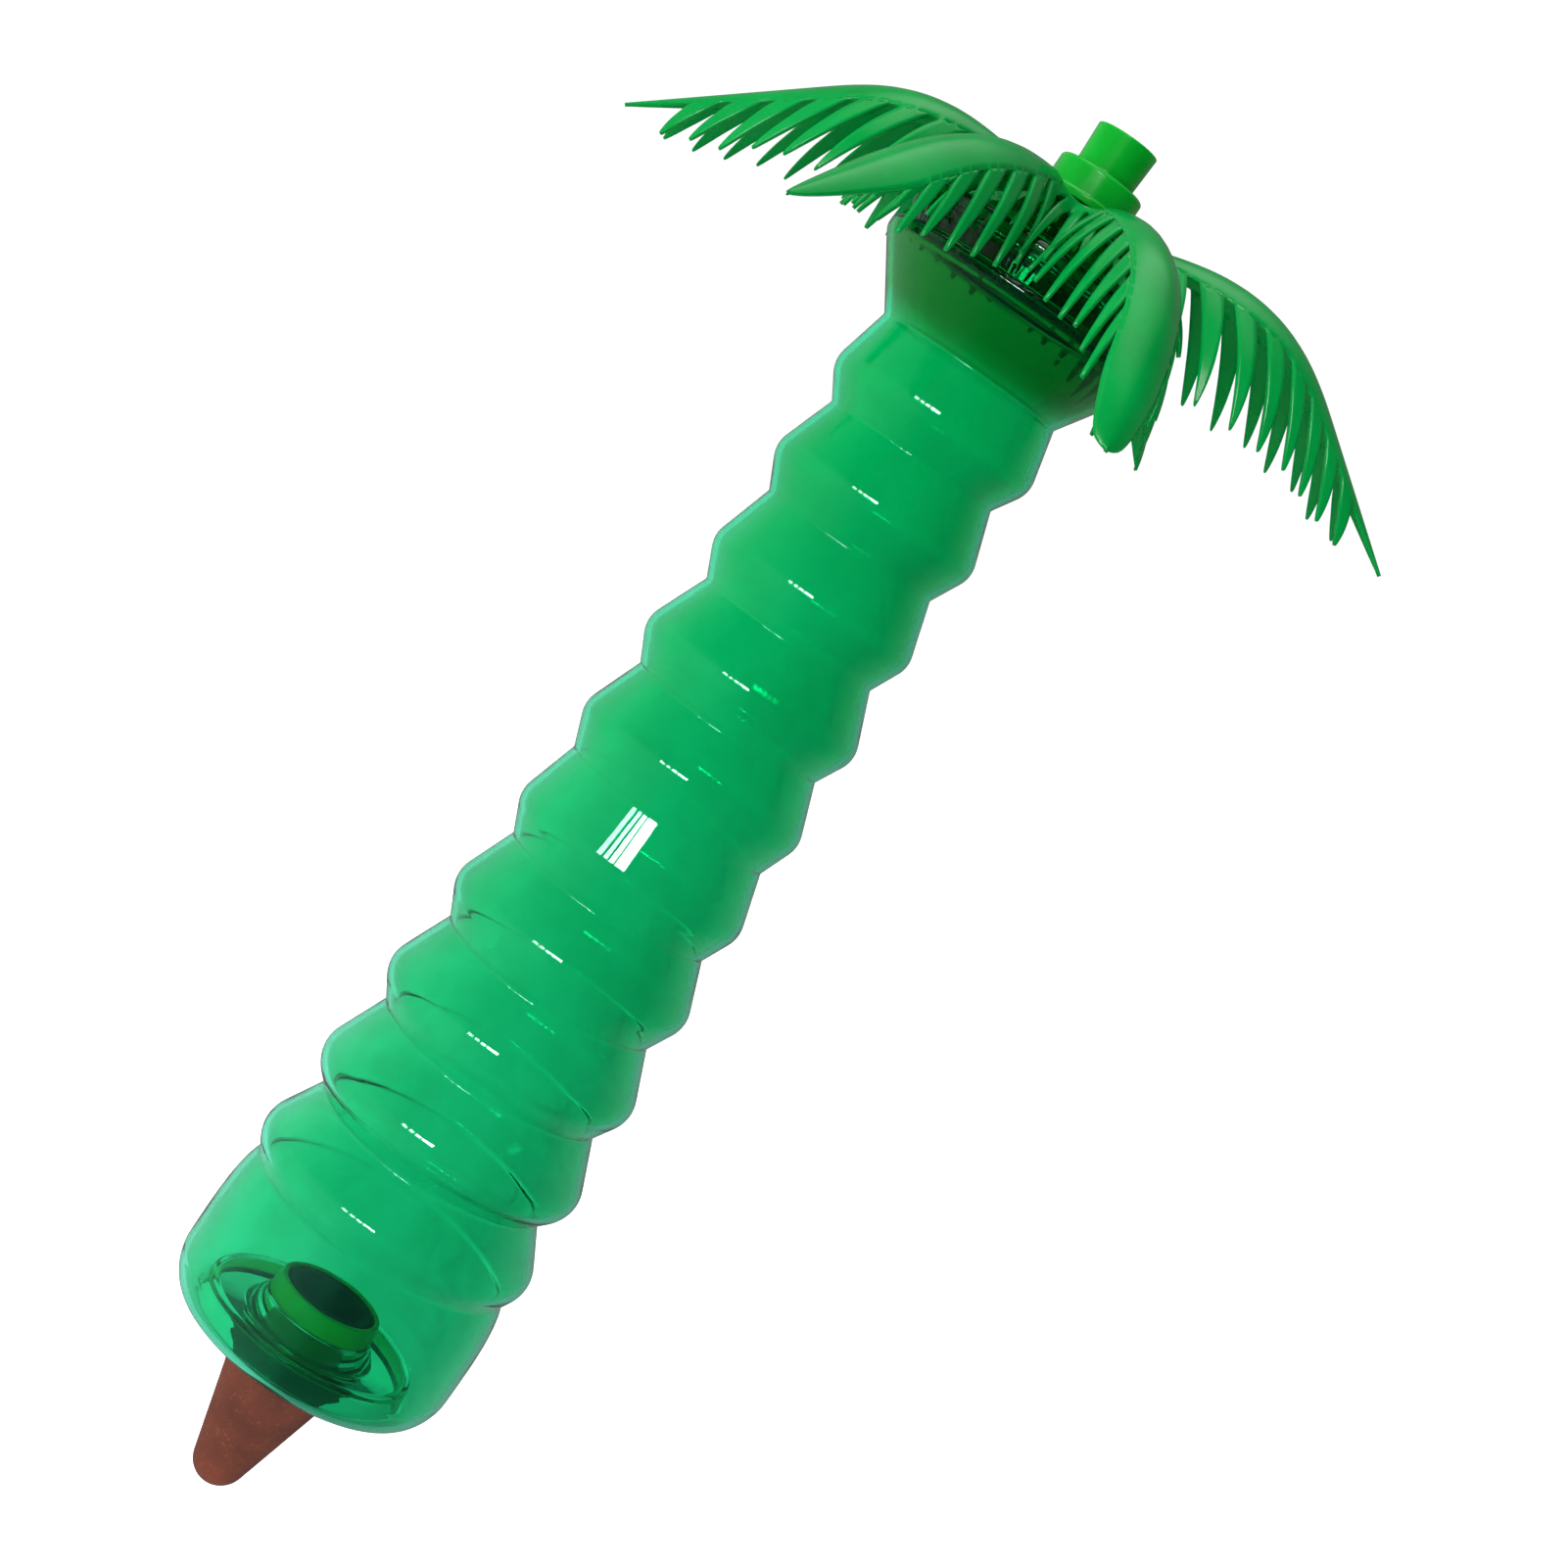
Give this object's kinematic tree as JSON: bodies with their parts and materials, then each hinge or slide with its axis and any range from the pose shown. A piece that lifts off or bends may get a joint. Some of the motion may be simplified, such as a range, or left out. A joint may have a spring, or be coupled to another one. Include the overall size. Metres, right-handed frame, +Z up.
{
  "type": "plant watering bottle",
  "caption": "Palm-tree shaped plant-watering bottle: ribbed see-through green trunk, frond crown on a screw lid, pull-off filler cap and a clay watering cone under the foot.",
  "frame": {"origin": "tip of the clay cone, on the trunk's axis", "axes": "+Z up along the trunk's axis from the clay cone to the filler cap; +X towards the right-hand frond, +Y towards the back"},
  "size_m": [0.2079, 0.1845, 0.3922],
  "materials": {
    "bottle_green": "gloss",
    "lid_green": "gloss",
    "gasket_white": "matt",
    "frond_green": "satin",
    "cap_green": "satin",
    "terracotta": "matt unglazed clay",
    "seal_green": "matt"
  },
  "bodies": {
    "bottle": {"trunk_bottle": "bottle_green", "base_seal": "seal_green"},
    "lid_liner": {"lid_gasket": "gasket_white"},
    "lid": {"screw_lid": "lid_green", "frond_crown": "frond_green"},
    "cap": {"filler_cap": "cap_green"},
    "cone": {"clay_cone": "terracotta"}
  },
  "joints": [
    {"name": "lid_lift", "type": "slide", "parent": "bottle", "child": "lid_liner", "axis": [0, 0, 1], "range_m": [0, 0.0036]},
    {"name": "lid_turn", "type": "hinge", "parent": "lid_liner", "child": "lid", "pos_m": [0, 0, 0.354], "axis": [0, 0, 1], "range_deg": [0, 432.01]},
    {"name": "cap_pull", "type": "slide", "parent": "lid", "child": "cap", "axis": [0, 0, 1], "range_m": [0, 0.02]},
    {"name": "cone_pull", "type": "slide", "parent": "bottle", "child": "cone", "axis": [0, 0, -1], "range_m": [0, 0.02]}
  ],
  "couplings": [
    {"joint": "lid_turn", "follows": "lid_lift", "rad_per_m": 2094.4}
  ]
}
